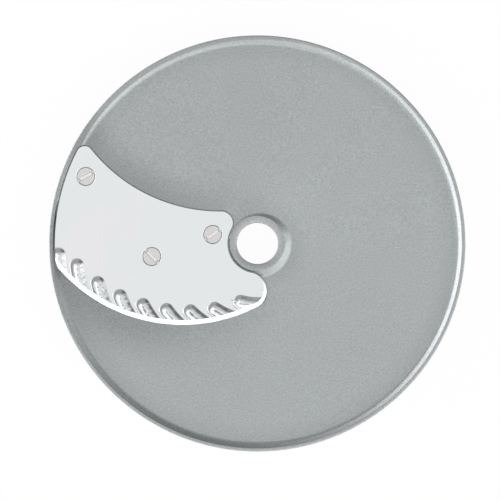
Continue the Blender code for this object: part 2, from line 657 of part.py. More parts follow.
def make_blade(material):
    """The blade: rows on circles about the bore, from the ground edge back, lifted by the flutes."""
    flute_end = FLUTE_RIM_SETBACK + FLUTE_PITCH
    setbacks = [0.0, BEVEL_WIDTH]
    while setbacks[-1] < flute_end:
        setbacks.append(setbacks[-1] + FLUTE_PITCH / FLUTE_STEPS)
    bm = bmesh.new()
    tops = []
    floors = []
    for radius in blade_radii():
        row = front_points(radius, setbacks)
        heading = math.atan2(row[-1].y, row[-1].x)
        sweep = swing(row[-1], back_point(radius))
        row += [point_at(radius, heading + sweep * step / REAR_STEPS) for step in range(1, REAR_STEPS + 1)]
        lifts = [BLADE_UNDERSIDE + flute_rise(point) for point in row]
        edge_thickness = BLADE_THICKNESS - (BLADE_THICKNESS - EDGE_LAND) * lobe_taper(radius)
        thicknesses = [edge_thickness] + [BLADE_THICKNESS] * (len(row) - 1)
        floors.append([bm.verts.new((p.x, p.y, z)) for p, z in zip(row, lifts)])
        tops.append([bm.verts.new((p.x, p.y, z + t)) for p, z, t in zip(row, lifts, thicknesses)])
    for rows, turn in ((tops, 1), (floors, -1)):
        for near, far in zip(rows, rows[1:]):
            for a, b, c, d in zip(near, near[1:], far[1:], far):
                bm.faces.new((a, b, c, d)[::turn])
    for side_top, side_floor in (
        (tops[0], floors[0]),
        (tops[-1], floors[-1]),
        ([row[0] for row in tops], [row[0] for row in floors]),
        ([row[-1] for row in tops], [row[-1] for row in floors]),
    ):
        for a, b, c, d in zip(side_top, side_top[1:], side_floor[1:], side_floor):
            bm.faces.new((a, b, c, d))
    bmesh.ops.remove_doubles(bm, verts=bm.verts, dist=0.002 * MM)
    bmesh.ops.recalc_face_normals(bm, faces=bm.faces)
    bmesh.ops.dissolve_limit(bm, angle_limit=FLAT_ANGLE, verts=bm.verts, edges=bm.edges)
    blade = make_object("ripple_blade", bm, material)
    for name, (place, _) in SCREWS.items():
        profile = screw_head_profile(FIT_GAP, BLADE_TOP + CUT_OVERRUN)
        profile += [(SCREW_SHANK_RADIUS + FIT_GAP, BLADE_UNDERSIDE - CUT_OVERRUN), (0.0, BLADE_UNDERSIDE - CUT_OVERRUN)]
        combine(blade, turned(f"cut_blade_{name}", profile, place), "DIFFERENCE")
    return blade


def main():
    clear_scene()
    aluminium = make_material("cast_aluminium", (0.38, 0.40, 0.40), 0.45)
    steel = make_material("polished_stainless", (0.75, 0.77, 0.78), 0.12)
    screw_steel = make_material("turned_stainless", (0.68, 0.67, 0.64), 0.25)
    make_casting(aluminium)
    make_blade(steel)
    for name, (place, slot_angle) in SCREWS.items():
        make_screw(name, place, slot_angle, screw_steel)


main()
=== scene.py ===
"""Looks for a ripple cut disc: a satin cast aluminium disc that carries a polished, fluted stainless blade.

It is laid out as a Blender add-on and run as a script. Each piece is an operator, and its sizes and colours are
in the property group of the same name. Metres, +Z up, origin on the bore's axis in the plane that the disc rests
on. Seen from above the disc turns counter-clockwise.
"""

import math

import bmesh
import bpy
import numpy as np
from bpy.props import FloatProperty, FloatVectorProperty, IntProperty, PointerProperty
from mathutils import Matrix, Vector


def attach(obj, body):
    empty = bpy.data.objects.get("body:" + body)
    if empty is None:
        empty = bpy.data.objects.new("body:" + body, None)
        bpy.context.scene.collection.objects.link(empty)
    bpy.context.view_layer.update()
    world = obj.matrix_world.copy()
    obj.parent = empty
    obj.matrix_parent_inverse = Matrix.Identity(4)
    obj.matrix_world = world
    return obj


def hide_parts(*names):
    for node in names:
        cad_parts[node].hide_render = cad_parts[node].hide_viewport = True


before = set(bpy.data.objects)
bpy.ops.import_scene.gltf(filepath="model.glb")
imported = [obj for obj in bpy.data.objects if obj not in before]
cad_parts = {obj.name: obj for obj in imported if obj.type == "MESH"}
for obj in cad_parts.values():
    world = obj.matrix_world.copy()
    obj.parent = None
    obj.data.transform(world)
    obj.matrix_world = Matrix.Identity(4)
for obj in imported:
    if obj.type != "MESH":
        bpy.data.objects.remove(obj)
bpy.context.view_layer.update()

bl_info = {
    "name": "Ripple Cut Disc",
    "version": (1, 0, 0),
    "blender": (4, 5, 0),
    "location": "3D Viewport > Sidebar > Ripple Disc",
    "description": "Builds a cutting disc with a fluted blade, its finishes and its studio",
    "category": "Object",
}

MM = 0.001
AXIS = Vector((0.0, 0.0))

# The disc rides on the record's only body
BODY = "root"

# Smoothness of the round forms
SECTION_COUNT = 360
FILLET_STEPS = 9
EDGE_STEPS = 4
PLATE_RINGS = 36
UNDERSIDE_RING_STEP = 9
ARC_STEP = math.radians(1.5)
ROUND_SIDES = 96
FLUTE_STEPS = 32
BEVEL_STEPS = 4
REAR_STEPS = 36
THREAD_SIDES = 48
THREAD_STEPS = 9
MERGE_DISTANCE = 0.0005 * MM
SHARP_ANGLE = math.radians(24.0)

# Power of the curve that a flute's domed end follows in plan: 2 is an ellipse, and more is fuller in the shoulders
DOME_POWER = 2.3
# Power by which the flutes' setback grows from the hub to the rim
SETBACK_POWER = 1.6
# Where a flank is low, the most of its height that the fillet takes, and the most of the rest that the slope takes
FILLET_SHARE = 0.8
SLOPE_SHARE = 0.75
# Distances from the notch and from the outer arc of the blade's outermost rows, besides the broken edge's
END_ROWS = (0.0, 0.04 * MM, 0.2 * MM)

FLOOR_RADIUS = 3.0
FLOOR_DEPTH = 0.02 * MM
# How much of the floor's look is plain white where it is seen or mirrored. The rest keeps its shadow
FLOOR_GLOW = 0.96

# How far a cutter runs past the faces that it cuts through
CUT_OVERRUN = 5.0 * MM


def hex_color(code):
    """Linear RGB of an sRGB hex colour."""
    channels = [int(code[start : start + 2], 16) / 255.0 for start in (1, 3, 5)]
    return tuple(c / 12.92 if c <= 0.04045 else ((c + 0.055) / 1.055) ** 2.4 for c in channels)


def length(name, description, default):
    """A length property, whose default is given in millimetres."""
    return FloatProperty(name=name, description=description, default=default * MM, unit="LENGTH", precision=5)


def angle(name, description, default):
    """An angle property, whose default is given in degrees."""
    return FloatProperty(name=name, description=description, default=math.radians(default), unit="ROTATION")


def place(name, description, default):
    """A plan point property, whose default is given in millimetres."""
    spot = tuple(value * MM for value in default)
    return FloatVectorProperty(name=name, description=description, default=spot, size=2, unit="LENGTH", precision=5)


def share(name, description, default):
    """A property from 0 to 1."""
    return FloatProperty(name=name, description=description, default=default, min=0.0, max=1.0, subtype="FACTOR")


def color(name, description, code):
    """A colour property, whose default is given as an sRGB hex value."""
    return FloatVectorProperty(
        name=name, description=description, default=hex_color(code), size=3, min=0.0, max=1.0, subtype="COLOR"
    )


class RippleDiscCasting(bpy.types.PropertyGroup):
    """Sizes and finish of the one-piece disc."""

    radius: length("Radius", "Outer radius of the disc", 95.0)
    rim_height: length("Rim height", "Height of the rim's top above the plane that the disc rests on", 13.8)
    rim_thickness: length("Rim thickness", "Width of the rim's wall above the plate", 1.6)
    rim_foot_width: length("Rim foot width", "Distance from the outside to the start of the rim's fillet", 4.7)
    rim_fillet: length("Rim fillet", "Radius of the fillet from the plate to the rim", 3.0)
    rim_slope: angle("Rim slope", "Slope of the flank from the plate to the rim", 40.0)
    skirt_thickness: length("Skirt thickness", "Thickness of the rim below the plate", 2.6)
    edge_round: length("Edge round", "Radius of the rim's outer edges", 0.4)
    crease_round: length("Crease round", "Radius of the edges of the hub and of the rim's inside", 0.2)
    underside_fillet: length("Underside fillet", "Radius of the fillets under the plate", 1.5)
    plate_thickness: length("Plate thickness", "Thickness of the plate", 3.0)
    rim_above_plate: length("Rim above plate", "Step from the plate up to the rim, behind the blade", 0.9)
    hub_above_plate: length("Hub above plate", "Step from the plate up to the hub, behind the blade", 0.2)
    swell_height: length("Swell height", "Rise of the plate towards the blade's back", 0.5)
    swell_reach: length("Swell reach", "Distance from the blade's back at which the rise begins", 16.0)
    lip_dip: length("Lip dip", "Dip of the plate towards the cutting edge", 0.4)
    lip_reach: length("Lip reach", "Distance from the cutting edge at which the dip begins", 12.0)
    hub_fade: length("Hub fade", "Distance from the hub over which rise and dip run out", 6.0)
    bore_radius: length("Bore radius", "Radius of the bore", 9.4)
    bore_chamfer: length("Bore chamfer", "Chamfer of the bore's edges", 0.25)
    cone_width: length("Cone width", "Width of the shallow cone round the bore", 1.7)
    cone_depth: length("Cone depth", "Depth of the shallow cone round the bore", 0.3)
    hub_width: length("Hub width", "Width of the hub's ring round the bore", 3.2)
    hub_flank_width: length("Hub flank width", "Width of the flank from the plate to the hub's wall", 3.4)
    hub_fillet: length("Hub fillet", "Radius of the fillet from the plate to the hub", 2.0)
    hub_slope: angle("Hub slope", "Slope of the flank from the plate to the hub", 38.0)
    hub_foot_width: length("Hub foot width", "Width of the hub's ring under the plate", 6.6)
    drive_slot_width: length("Drive slot width", "Width of the slot for the drive shaft's cross pin", 6.0)
    drive_slot_depth: length("Drive slot depth", "Depth of the slot across the hub's foot", 5.0)
    slice_thickness: length("Slice thickness", "Height of the gap under the cutting edge", 2.0)
    ramp_top: angle("Ramp top", "Angle at which the plate begins to fall, clockwise", 130.0)
    ramp_bottom: angle("Ramp bottom", "Angle at which the plate is level again", -30.0)
    climb_start: angle("Climb start", "Angle under the blade at which the plate climbs again", 175.0)
    climb_end: angle("Climb end", "Angle under the blade at which the plate is high again", 162.0)
    rib_thickness: length("Rib thickness", "Thickness of the ribs under the plate", 2.5)
    rib_base_gap: length("Rib base gap", "Gap between the ribs and the plane that the disc rests on", 2.0)
    rib_first: angle("First rib", "Angle of the first rib", -67.5)
    rib_spacing: angle("Rib spacing", "Angle between two ribs", 45.0)
    rib_count: IntProperty(name="Ribs", description="Number of ribs under the plate", default=5, min=0)
    boss_radius: length("Boss radius", "Radius of the bosses that hold the screws", 5.0)
    boss_length: length("Boss length", "Length of the bosses below the seat", 4.0)
    seat_margin: length("Seat margin", "Width of the seat outside the blade", 2.0)
    seat_setback: length("Seat setback", "Distance from the cutting edge back to the seat", 17.0)
    seat_lap: length("Seat lap", "Width of the ledges beside the window", 3.0)
    lip_setback: length("Lip setback", "Lap of the plate's lip under the cutting edge", 1.0)
    color: color("Colour", "Bead blasted cast aluminium", "#B0B4B5")
    roughness: share("Roughness", "Roughness of the blasted surface", 0.42)


class RippleDiscBlade(bpy.types.PropertyGroup):
    """Sizes and finish of the fluted blade."""

    thickness: length("Thickness", "Thickness of the blade", 1.5)
    above_plate: length("Above plate", "Step from the plate up to the blade's top", 0.6)
    fit_gap: length("Fit gap", "Clearance under the blade and round the screws", 0.3)
    pocket_gap: length("Pocket gap", "Clearance round the blade", 0.5)
    rim_gap: length("Rim gap", "Gap from the rim's wall to the blade's outer arc", 0.95)
    hub_gap: length("Hub gap", "Gap from the hub to the blade's notch", 1.05)
    edge_centre: place("Edge centre", "Centre of the cutting edge's arc", (-34.2, 38.1))
    edge_radius: length("Edge radius", "Radius of the cutting edge's arc", 75.25)
    back_centre: place("Back centre", "Centre of the back edge's arc", (-17.0, 89.9))
    back_radius: length("Back radius", "Radius of the back edge's arc", 75.25)
    lobe_radius: length("Lobe radius", "Round between the cutting edge and the notch", 8.4)
    corner_radius: length("Corner radius", "Round between the notch and the back edge", 5.3)
    tip_radius: length("Tip radius", "Round between the back edge and the outer arc", 3.7)
    bevel_width: length("Ground edge width", "Width of the ground face along the cutting edge", 2.15)
    edge_land: length("Edge land", "Thickness left at the cutting edge", 0.2)
    edge_break: length("Edge break", "Chamfer along the edges that don't cut", 0.1)
    flute_count: IntProperty(name="Flutes", description="Number of flutes", default=9, min=1)
    flute_inset: length("First flute inset", "Distance from the notch to the innermost flute", 14.15)
    flute_pitch: length("Flute pitch", "Distance between two flutes", 7.87)
    flute_width: length("Flute width", "Width of a flute", 6.8)
    dome_length: length("Dome length", "Length of a flute's domed end", 3.5)
    flute_height: length("Flute height", "Height of a flute", 0.9)
    flute_foot: length("Flute foot", "Width of the round at a flute's foot", 0.5)
    rim_setback: length("Rim setback", "Distance from the cutting edge to the flutes' starts by the rim", 7.1)
    hub_setback: length("Hub setback", "Distance from the cutting edge to the innermost flute's start", 5.1)
    last_setback: length("Last setback", "Distance from the cutting edge to the outermost flute's start", 4.0)
    color: color("Colour", "Mirror polished stainless steel", "#E4E7E8")
    roughness: share("Roughness", "Roughness of the polished faces", 0.07)
    flute_waviness: length("Flute waviness", "Height of the waves that pressing leaves in the flutes", 0.15)
    ground_color: color("Ground colour", "Freshly ground stainless steel", "#FCFCFC")
    ground_roughness: share("Ground roughness", "Roughness of the ground cutting edge", 0.5)


class RippleDiscScrew(bpy.types.PropertyGroup):
    """Sizes and finish of the slotted countersunk screws."""

    head_radius: length("Head radius", "Radius of the head", 4.0)
    head_edge: length("Head edge", "Chamfer round the head's top", 0.15)
    head_gap: length("Head gap", "Clearance between the head and its countersink", 0.25)
    sink: length("Sink", "Depth of the head's top below the blade's top", 0.12)
    shank_radius: length("Shank radius", "Outer radius of the thread", 2.0)
    length: length("Length", "Length with the head", 8.0)
    tip_chamfer: length("Tip chamfer", "Chamfer of the tip", 0.5)
    thread_pitch: length("Thread pitch", "Distance between two turns of the thread", 0.7)
    thread_depth: length("Thread depth", "Depth of the thread", 0.38)
    slot_width: length("Slot width", "Width of the driver slot", 1.2)
    slot_depth: length("Slot depth", "Depth of the driver slot", 1.1)
    slot_lip: length("Slot lip", "Chamfer along the driver slot", 0.25)
    outer_place: place("Outer screw", "Axis of the screw near the rim", (-78.3, 30.6))
    outer_slot: angle("Outer slot", "Direction of its slot", 30.0)
    inner_place: place("Inner screw", "Axis of the screw near the hub", (-20.4, 4.1))
    inner_slot: angle("Inner slot", "Direction of its slot", 34.0)
    middle_place: place("Middle screw", "Axis of the screw between them", (-48.2, -5.95))
    middle_slot: angle("Middle slot", "Direction of its slot", -45.0)
    color: color("Colour", "Turned stainless steel", "#EEEDEB")
    roughness: share("Roughness", "Roughness of the turned head", 0.22)


class RippleDiscStage(bpy.types.PropertyGroup):
    """The floor, the light tent and the camera."""

    aim: place("Aim", "Plan point in the middle of the picture", (-3.36, -2.99))
    view_width: length("View width", "Width of the picture at the rim's top", 228.2)
    lens: FloatProperty(name="Lens", description="Focal length", default=400.0, unit="CAMERA")
    tent: FloatProperty(name="Tent", description="Strength of the light tent", default=1.0, min=0.0)
    floor_color: color("Floor", "Matt white floor", "#F2F2F2")


def smooth_step(value):
    """Eases from 0 to 1 with level ends."""
    value = min(max(value, 0.0), 1.0)
    return value * value * (3.0 - 2.0 * value)


def point_at(radius, heading):
    """The plan point at a radius and an angle in radians about the bore's axis."""
    return Vector((radius * math.cos(heading), radius * math.sin(heading)))


def swing(start, end):
    """Angle in radians about the bore's axis from start to end, counter-clockwise."""
    return math.atan2(start.x * end.y - start.y * end.x, start.dot(end))


def crossing(centre_a, radius_a, centre_b, radius_b, side=1.0):
    """Where two circles cross, on the left (1) or the right (-1) of the way from centre a to centre b."""
    between = centre_b - centre_a
    distance = between.length
    along = (radius_a**2 - radius_b**2 + distance**2) / (2.0 * distance)
    offset = math.sqrt(max(radius_a**2 - along**2, 0.0))
    ahead = between / distance
    return centre_a + ahead * along + Vector((-ahead.y, ahead.x)) * offset * side


def arc(centre, start, end, turn):
    """Points from start up to, and without, end about the centre, counter-clockwise (1) or clockwise (-1)."""
    first = start - centre
    last = end - centre
    begin = math.atan2(first.y, first.x)
    sweep = (turn * (math.atan2(last.y, last.x) - begin)) % math.tau
    steps = max(1, math.ceil(sweep / ARC_STEP))
    return [centre + point_at(first.length, begin + turn * sweep * step / steps) for step in range(steps)]


def rounding(centre_radius, centre_height, size, begin, end, steps=FILLET_STEPS):
    """Section points (radius, height) on a round of this size, between two angles in degrees."""
    points = []
    for step in range(steps + 1):
        turn = math.radians(begin + (end - begin) * step / steps)
        points.append((centre_radius + size * math.cos(turn), centre_height + size * math.sin(turn)))
    return points


def flank(height, fillet, slope, width):
    """A sloped flank on a fillet, and the wall that it ends at, as (distance, height) from its start on the plate.

    The flank is as wide as it is told to be, or narrower where it reaches the height before that.
    """
    turn = min(slope, math.acos(max(1.0 - FILLET_SHARE * height / fillet, 0.0)))
    points = rounding(0.0, fillet, fillet, -90.0, math.degrees(turn) - 90.0)
    start, rise = points[-1]
    steepness = math.tan(turn)
    climb = min((width - start) * steepness, SLOPE_SHARE * (height - rise))
    end = start + climb / steepness
    top = min(end + (height - rise - climb) / steepness, width)
    return points + [(end, rise + climb), (top, height)]


def creased(points, crease):
    """The flank with a small round in place of the corner at its top."""
    corner = Vector(points[-1])
    wall = corner - Vector(points[-2])
    below = corner - wall.normalized() * min(crease, wall.length / 2.0)
    beyond = corner + Vector((crease, 0.0))
    rounded = []
    for step in range(EDGE_STEPS + 1):
        part = step / EDGE_STEPS
        rounded.append(tuple(below.lerp(corner, part).lerp(corner.lerp(beyond, part), part)))
    return points[:-1] + rounded


def round_trip(arcs):
    """A closed outline of arcs. Each is a centre, a start and a turn, and ends where the next one starts."""
    outline = []
    for (centre, start, turn), (_, end, _) in zip(arcs, arcs[1:] + arcs[:1]):
        outline += arc(centre, start, end, turn)
    return outline


class DiscForm:
    """Plan curves and heights of the disc, worked out from the sizes in the sidebar."""

    def __init__(self, scene):
        casting = scene.ripple_disc_casting
        blade = scene.ripple_disc_blade
        self.casting = casting
        self.blade = blade
        self.rim_top = casting.rim_height
        self.plate_high = self.rim_top - casting.rim_above_plate
        self.hub_top = self.plate_high + casting.hub_above_plate
        self.blade_top = self.plate_high + blade.above_plate
        self.blade_underside = self.blade_top - blade.thickness
        self.seat_top = self.blade_underside - blade.fit_gap
        self.plate_low = self.blade_underside - casting.slice_thickness + casting.lip_dip
        self.rim_inner = casting.radius - casting.rim_thickness
        self.rim_foot = casting.radius - casting.rim_foot_width
        self.hub = casting.bore_radius + casting.hub_width
        self.hub_foot = casting.bore_radius + casting.hub_foot_width
        self.edge_centre = Vector(blade.edge_centre)
        self.back_centre = Vector(blade.back_centre)
        self.outer = self.rim_inner - blade.rim_gap
        self.notch = self.hub + blade.hub_gap
        self.flute_first = self.notch + blade.flute_inset
        self.front = blade.edge_radius
        self.back = blade.back_radius
        self.lobe_round = blade.lobe_radius
        self.lobe = crossing(AXIS, self.notch + self.lobe_round, self.edge_centre, self.front - self.lobe_round)
        corner = blade.corner_radius
        self.corner = crossing(AXIS, self.notch + corner, self.back_centre, self.back + corner)
        self.tip = crossing(AXIS, self.outer - blade.tip_radius, self.back_centre, self.back + blade.tip_radius)
        self.lobe_start = self.toward(self.edge_centre, self.lobe, self.front).length
        self.corner_end = self.toward(self.back_centre, self.corner, self.back).length
        self.tip_start = self.toward(self.back_centre, self.tip, self.back).length
        self.outline = np.array([tuple(point) for point in self.blade_plan()])
        self.outline_sides = np.roll(self.outline, -1, axis=0) - self.outline

    @staticmethod
    def toward(centre, target, distance):
        """The point at this distance from the centre, towards the target."""
        return centre + (target - centre).normalized() * distance

    def blade_plan(self, grow=0.0):
        """The blade's outline, moved outward by grow. Its rounds are tangent to the arcs that they join."""
        outer = self.outer + grow
        notch = self.notch - grow
        front = self.front + grow
        back = self.back - grow
        return round_trip(
            [
                (self.edge_centre, crossing(AXIS, outer, self.edge_centre, front), 1),
                (self.lobe, self.toward(self.edge_centre, self.lobe, front), 1),
                (AXIS, self.lobe.normalized() * notch, -1),
                (self.corner, self.corner.normalized() * notch, 1),
                (self.back_centre, self.toward(self.back_centre, self.corner, back), -1),
                (self.tip, self.toward(self.back_centre, self.tip, back), 1),
                (AXIS, self.tip.normalized() * outer, 1),
            ]
        )

    def plate_top(self, heading):
        """Height of the level and ramped plate at an angle in radians. The climb back is under the blade."""
        casting = self.casting
        travel = (casting.ramp_top - heading) % math.tau
        climb = travel - (casting.ramp_top - casting.climb_start) % math.tau
        fall = smooth_step(travel / (casting.ramp_top - casting.ramp_bottom))
        fall -= smooth_step(climb / (casting.climb_start - casting.climb_end))
        return self.plate_high - (self.plate_high - self.plate_low) * fall

    def blade_distance(self, point):
        """Distance from a plan point to the blade's outline."""
        offset = np.array(tuple(point)) - self.outline
        part = (offset * self.outline_sides).sum(axis=1) / (self.outline_sides**2).sum(axis=1)
        nearest = offset - self.outline_sides * np.clip(part, 0.0, 1.0)[:, None]
        return np.hypot(nearest[:, 0], nearest[:, 1]).min()

    def plate_shift(self, point, top):
        """Rise of the plate near the blade's back, and its dip near the cutting edge, where the plate is low."""
        casting = self.casting
        distance = self.blade_distance(point)
        level = smooth_step((top - self.plate_low) / (self.plate_high - self.plate_low))
        fade = smooth_step((point.length - self.hub - casting.hub_flank_width) / casting.hub_fade)
        swell = casting.swell_height * max(1.0 - distance / casting.swell_reach, 0.0) ** 2
        dip = casting.lip_dip * max(1.0 - distance / casting.lip_reach, 0.0) ** 2
        return (swell * level - dip * (1.0 - level)) * fade

    def section(self, heading):
        """The casting's section at an angle in radians: a loop from the bore over the top to the rim and back."""
        casting = self.casting
        top = self.plate_top(heading)
        under = top - casting.plate_thickness
        edge = casting.edge_round
        crease = casting.crease_round

        hub_flank = flank(self.hub_top - top, casting.hub_fillet, casting.hub_slope, casting.hub_flank_width)
        hub_reach = self.hub + hub_flank[-1][0]
        hub_side = [(hub_reach - reach, top + rise) for reach, rise in reversed(creased(hub_flank, crease))]
        rim_foot = top + self.plate_shift(point_at(self.rim_foot, heading), top)
        flank_width = self.rim_inner - self.rim_foot
        rim_flank = flank(self.rim_top - rim_foot, casting.rim_fillet, casting.rim_slope, flank_width)
        rim_side = [(self.rim_foot + reach, rim_foot + rise) for reach, rise in creased(rim_flank, crease)]

        plate_start = self.hub + casting.hub_flank_width + casting.hub_fillet / 2.0
        spread = self.rim_foot - plate_start
        rings = [plate_start + spread * ring / PLATE_RINGS for ring in range(PLATE_RINGS)]
        plate = [(radius, top + self.plate_shift(point_at(radius, heading), top)) for radius in rings]
        low_rings = rings[UNDERSIDE_RING_STEP::UNDERSIDE_RING_STEP]
        skirt = casting.radius - casting.skirt_thickness
        low = casting.underside_fillet
        bore = casting.bore_radius
        chamfer = casting.bore_chamfer
        cone_foot = self.hub_top - casting.cone_depth
        return (
            [(bore, cone_foot - chamfer), (bore + chamfer, cone_foot), (bore + casting.cone_width, self.hub_top)]
            + hub_side
            + plate
            + rim_side
            + rounding(casting.radius - edge, self.rim_top - edge, edge, 90.0, 0.0, EDGE_STEPS)
            + rounding(casting.radius - edge, edge, edge, 0.0, -90.0, EDGE_STEPS)
            + [(skirt + crease, 0.0), (skirt, crease)]
            + rounding(skirt - low, under - low, low, 0.0, 90.0, EDGE_STEPS)
            + [(radius, under) for radius in reversed(low_rings)]
            + rounding(self.hub_foot + low, under - low, low, 90.0, 180.0, EDGE_STEPS)
            + rounding(self.hub_foot - edge, edge, edge, 0.0, -90.0, EDGE_STEPS)
            + [(bore + chamfer, 0.0), (bore, chamfer)]
        )

    def flute_rise(self, point):
        """How far the flutes lift the blade at a plan point. Each is an arch along a circle, with a domed end."""
        blade = self.blade
        radius = point.length
        number = round((radius - self.flute_first) / blade.flute_pitch)
        if not 0 <= number < blade.flute_count:
            return 0.0
        flute_radius = self.flute_first + number * blade.flute_pitch
        from_rim = 1.0 - number / (blade.flute_count - 1)
        setback = blade.rim_setback - (blade.rim_setback - blade.hub_setback) * from_rim**SETBACK_POWER
        if from_rim == 0.0:
            setback = blade.last_setback
        start = crossing(AXIS, flute_radius, self.edge_centre, self.front - setback)
        behind = max(-swing(start, point) * flute_radius, 0.0)
        across = abs(radius - flute_radius) / (blade.flute_width / 2.0)
        part = (across**DOME_POWER + (behind / blade.dome_length) ** DOME_POWER) ** (1.0 / DOME_POWER)
        # The arch is a parabola that meets a small round at its foot
        foot = 1.0 - blade.flute_foot / (blade.flute_width / 2.0)
        if part < foot:
            return blade.flute_height * (1.0 - part**2 / foot)
        return blade.flute_height * max(1.0 - part, 0.0) ** 2 / (1.0 - foot)

    def lobe_taper(self, radius):
        """1 along the cutting edge, and down to 0 round the lobe, where the ground edge runs out."""
        return min((radius - self.notch) / (self.lobe_start - self.notch), 1.0)

    def front_points(self, radius, setbacks, ground):
        """The row's points at these setbacks from the cutting edge. The first ones are on the ground edge."""
        if radius >= self.lobe_start:
            return [crossing(AXIS, radius, self.edge_centre, self.front - setback) for setback in setbacks]
        # Round the lobe the ground edge tapers, and the points behind it keep their angles from the lobe's start
        taper = self.lobe_taper(radius)
        edge = [crossing(AXIS, radius, self.lobe, self.lobe_round - setback * taper) for setback in setbacks[:ground]]
        rest = setbacks[ground - 1 :]
        first = [crossing(AXIS, self.lobe_start, self.edge_centre, self.front - setback) for setback in rest]
        heading = math.atan2(edge[-1].y, edge[-1].x)
        return edge + [point_at(radius, heading + swing(first[0], point)) for point in first[1:]]

    def back_point(self, radius):
        """The plan point of the blade's back at this radius."""
        if radius < self.corner_end:
            return crossing(AXIS, radius, self.corner, self.blade.corner_radius, -1.0)
        if radius > self.tip_start:
            return crossing(AXIS, radius, self.tip, self.blade.tip_radius, -1.0)
        return crossing(AXIS, radius, self.back_centre, self.back)

    def blade_radii(self):
        """Radii of the blade's rows: even steps across the flutes, finer where the rounds end."""
        blade = self.blade
        step = blade.flute_pitch / FLUTE_STEPS
        first = self.flute_first - math.floor((self.flute_first - self.notch) / step) * step
        count = math.ceil((self.outer - self.notch) / step)
        ends = sorted((*END_ROWS, blade.edge_break))
        near_notch = [self.notch + end for end in ends]
        near_rim = [self.outer - end for end in reversed(ends)]
        even = [first + step * number for number in range(count)]
        inner = [radius for radius in even if near_notch[-1] + step / 4 < radius < near_rim[0] - step / 4]
        return near_notch + inner + near_rim


def new_object(name, bm, materials=()):
    """Turns a bmesh into an object with its faces out."""
    bmesh.ops.recalc_face_normals(bm, faces=bm.faces)
    mesh = bpy.data.meshes.new(name)
    bm.to_mesh(mesh)
    bm.free()
    for material in materials:
        mesh.materials.append(material)
    obj = bpy.data.objects.new(name, mesh)
    bpy.context.scene.collection.objects.link(obj)
    return obj


def add_vert(bm, plan, height):
    """A mesh point above or below a plan point."""
    return bm.verts.new((plan.x, plan.y, height))


def skin(bm, loops):
    """Faces from each closed loop of points to the next one."""
    for near, far in zip(loops, loops[1:]):
        for corners in zip(near, near[1:] + near[:1], far[1:] + far[:1], far):
            bm.faces.new(corners)


def swept(name, corners, way):
    """A solid swept from a flat face with these corners."""
    bm = bmesh.new()
    face = bm.faces.new([bm.verts.new(corner) for corner in corners])
    moved = bmesh.ops.extrude_face_region(bm, geom=[face])["geom"]
    verts = [item for item in moved if isinstance(item, bmesh.types.BMVert)]
    bmesh.ops.translate(bm, verts=verts, vec=way)
    return new_object(name, bm)


def prism(name, outline, bottom, top):
    """A closed upright solid over a plan outline."""
    return swept(name, [(point.x, point.y, bottom) for point in outline], (0.0, 0.0, top - bottom))


def turned(name, profile, centre):
    """A solid turned about an upright axis, from a profile of (radius, height) that starts and ends on it."""
    bm = bmesh.new()
    verts = [bm.verts.new((radius, 0.0, height)) for radius, height in profile]
    edges = [bm.edges.new(pair) for pair in zip(verts, verts[1:])]
    bmesh.ops.spin(bm, geom=verts + edges, axis=(0.0, 0.0, 1.0), angle=math.tau, steps=ROUND_SIDES)
    bmesh.ops.remove_doubles(bm, verts=bm.verts, dist=MERGE_DISTANCE)
    obj = new_object(name, bm)
    obj.location = (centre.x, centre.y, 0.0)
    return obj


def block(name, size, centre, turn):
    """An upright block of this length, width and height round its centre, turned about its upright axis."""
    bm = bmesh.new()
    bmesh.ops.create_cube(bm, size=1.0)
    bmesh.ops.scale(bm, verts=bm.verts, vec=size)
    obj = new_object(name, bm)
    obj.location = centre
    obj.rotation_euler.z = turn
    return obj


def combine(target, steps):
    """Applies Booleans to the target, a list of (operation, objects), and removes the objects that it used."""
    used = []
    for operation, others in steps:
        for other in others:
            modifier = target.modifiers.new(other.name, "BOOLEAN")
            modifier.operation = operation
            modifier.solver = "EXACT"
            modifier.object = other
            used.append(other)
    evaluated = target.evaluated_get(bpy.context.evaluated_depsgraph_get())
    mesh = bpy.data.meshes.new_from_object(evaluated)
    target.modifiers.clear()
    old = target.data
    target.data = mesh
    bpy.data.meshes.remove(old)
    mesh.name = target.name
    for other in used:
        data = other.data
        bpy.data.objects.remove(other)
        bpy.data.meshes.remove(data)


def dress(obj, node):
    """Shades the piece, sets it on the disc's body and lets it stand for the CAD node."""
    obj.data.shade_smooth()
    obj.data.set_sharp_from_angle(angle=SHARP_ANGLE)
    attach(obj, BODY)
    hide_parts(node)


def add_node(tree, kind, settings=None, **inputs):
    """Adds a node with its settings. Each input takes a value or the socket that it is linked to."""
    node = tree.nodes.new(kind)
    for name, value in (settings or {}).items():
        setattr(node, name, value)
    for name, value in inputs.items():
        socket = node.inputs[int(name[1:])] if name[1:].isdigit() else node.inputs[name.replace("_", " ")]
        if isinstance(value, bpy.types.NodeSocket):
            tree.links.new(value, socket)
        else:
            socket.default_value = value
    return node


def math_node(tree, operation, *values):
    """The result of a math node. Each value is a number or a socket."""
    inputs = {f"_{number}": value for number, value in enumerate(values)}
    return add_node(tree, "ShaderNodeMath", {"operation": operation}, **inputs).outputs[0]


def mixed(tree, factor, low, high):
    """The low value where the factor is 0, and the high value where it is 1."""
    return add_node(tree, "ShaderNodeMix", {"data_type": "FLOAT"}, _0=factor, _2=low, _3=high).outputs[0]


def ramp(tree, value, stops, interpolation="LINEAR"):
    """The value's colour on a ramp, whose stops are (position, colour)."""
    node = add_node(tree, "ShaderNodeValToRGB", Fac=value)
    node.color_ramp.interpolation = interpolation
    elements = node.color_ramp.elements
    while len(elements) > 1:
        elements.remove(elements[-1])
    elements[0].position = stops[0][0]
    elements[0].color = (*stops[0][1], 1.0)
    for position, rgb in stops[1:]:
        elements.new(position).color = (*rgb, 1.0)
    return node.outputs["Color"]


